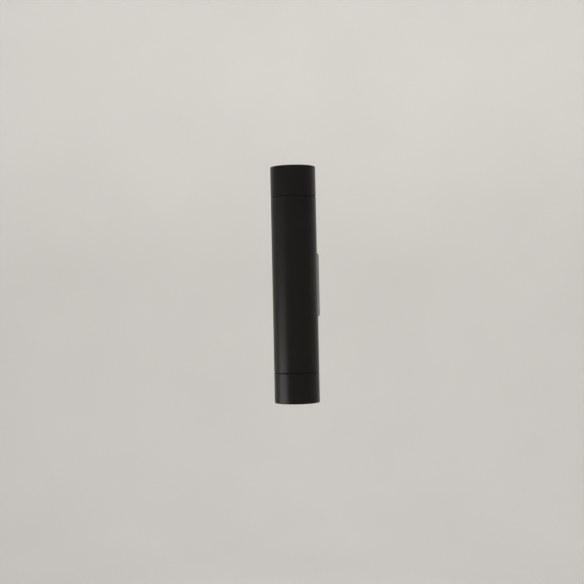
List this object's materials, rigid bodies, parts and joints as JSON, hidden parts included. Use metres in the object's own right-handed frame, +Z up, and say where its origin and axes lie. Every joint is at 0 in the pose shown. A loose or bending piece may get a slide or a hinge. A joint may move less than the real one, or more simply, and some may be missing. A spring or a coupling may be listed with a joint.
{
  "type": "up and down wall light",
  "caption": "Slim black cylinder wall light on a short back box, with screwed end rings, cover glasses and twist-lock lamps that throw light up and down the wall.",
  "frame": {"origin": "middle of the two wall screw slots, on the face that lies on the wall", "axes": "+Z up along the tube, +Y into the wall, +X to the right seen from the room"},
  "size_m": [0.0576, 0.085, 0.3],
  "materials": {
    "black_coat": "fine satin black powder coat on aluminium",
    "plated_steel": "zinc plated sheet",
    "bright_screw": "zinc plated",
    "black_screw": "blackened steel",
    "spring_steel": "oiled spring steel",
    "tinned_metal": "nickel or tin plate",
    "brass": "plain brass",
    "clear_glass": "clear toughened glass",
    "black_rubber": "matt moulded rubber",
    "seal_silicone": "matt silicone",
    "lamp_shell": "cast, satin",
    "lamp_plastic": "white moulded plastic",
    "lamp_board": "white board with amber chips",
    "lamp_lens": "clear moulded lens, lit warm white",
    "holder_ceramic": "unglazed ceramic",
    "terminal_plastic": "natural polyamide",
    "earth_sleeve": "green and yellow insulation",
    "lead_sleeve": "woven glass sleeve on silicone"
  },
  "bodies": {
    "fixture": {"tube_body": "black_coat", "back_box": "black_coat", "wall_plate": "plated_steel", "cable_grommet": "black_rubber", "box_screws": "black_screw", "tube_screws": "bright_screw", "wire_bush": "black_rubber", "chassis": "plated_steel", "holder_screws": "bright_screw", "terminal_block": "terminal_plastic", "terminal_sleeves": "brass", "terminal_screws": "bright_screw", "terminal_fixings": "bright_screw", "earth_lug": "tinned_metal", "earth_screw": "brass", "earth_wire": "earth_sleeve", "wire_ferrules": "tinned_metal", "upper_lampholder": "holder_ceramic", "lower_lampholder": "holder_ceramic", "upper_holder_contacts": "brass", "lower_holder_contacts": "brass", "upper_lamp_wires": "lead_sleeve", "lower_lamp_wires": "lead_sleeve"},
    "upper_glass": {"upper_cover_glass": "clear_glass", "upper_glass_seal": "seal_silicone"},
    "upper_ring": {"upper_end_ring": "black_coat", "upper_joint_seal": "black_rubber", "upper_circlip": "spring_steel"},
    "upper_lamp": {"upper_lamp_heatsink": "lamp_shell", "upper_lamp_board": "lamp_board", "upper_lamp_lens": "lamp_lens", "upper_lamp_base": "lamp_plastic", "upper_lamp_pins": "tinned_metal"},
    "lower_glass": {"lower_cover_glass": "clear_glass", "lower_glass_seal": "seal_silicone"},
    "lower_ring": {"lower_end_ring": "black_coat", "lower_joint_seal": "black_rubber", "lower_circlip": "spring_steel"},
    "lower_lamp": {"lower_lamp_heatsink": "lamp_shell", "lower_lamp_board": "lamp_board", "lower_lamp_lens": "lamp_lens", "lower_lamp_base": "lamp_plastic", "lower_lamp_pins": "tinned_metal"}
  },
  "joints": [
    {"name": "upper_ring_travel", "type": "slide", "parent": "fixture", "child": "upper_glass", "axis": [0, 0, 1], "range_m": [0, 0.0075]},
    {"name": "upper_ring_turn", "type": "hinge", "parent": "upper_glass", "child": "upper_ring", "pos_m": [0, -0.05625, 0.13], "axis": [0, 0, 1], "range_deg": [0, 1800]},
    {"name": "upper_lamp_twist", "type": "hinge", "parent": "fixture", "child": "upper_lamp", "pos_m": [0, -0.05625, 0.09], "axis": [0, 0, 1], "range_deg": [0, 40]},
    {"name": "lower_ring_travel", "type": "slide", "parent": "fixture", "child": "lower_glass", "axis": [0, 0, -1], "range_m": [0, 0.0075]},
    {"name": "lower_ring_turn", "type": "hinge", "parent": "lower_glass", "child": "lower_ring", "pos_m": [0, -0.05625, -0.13], "axis": [0, 0, -1], "range_deg": [0, 1800]},
    {"name": "lower_lamp_twist", "type": "hinge", "parent": "fixture", "child": "lower_lamp", "pos_m": [0, -0.05625, -0.09], "axis": [0, 0, -1], "range_deg": [0, 40]}
  ],
  "couplings": [
    {"joint": "upper_ring_travel", "follows": "upper_ring_turn", "m_per_rad": 0.00023873},
    {"joint": "lower_ring_travel", "follows": "lower_ring_turn", "m_per_rad": 0.00023873}
  ]
}
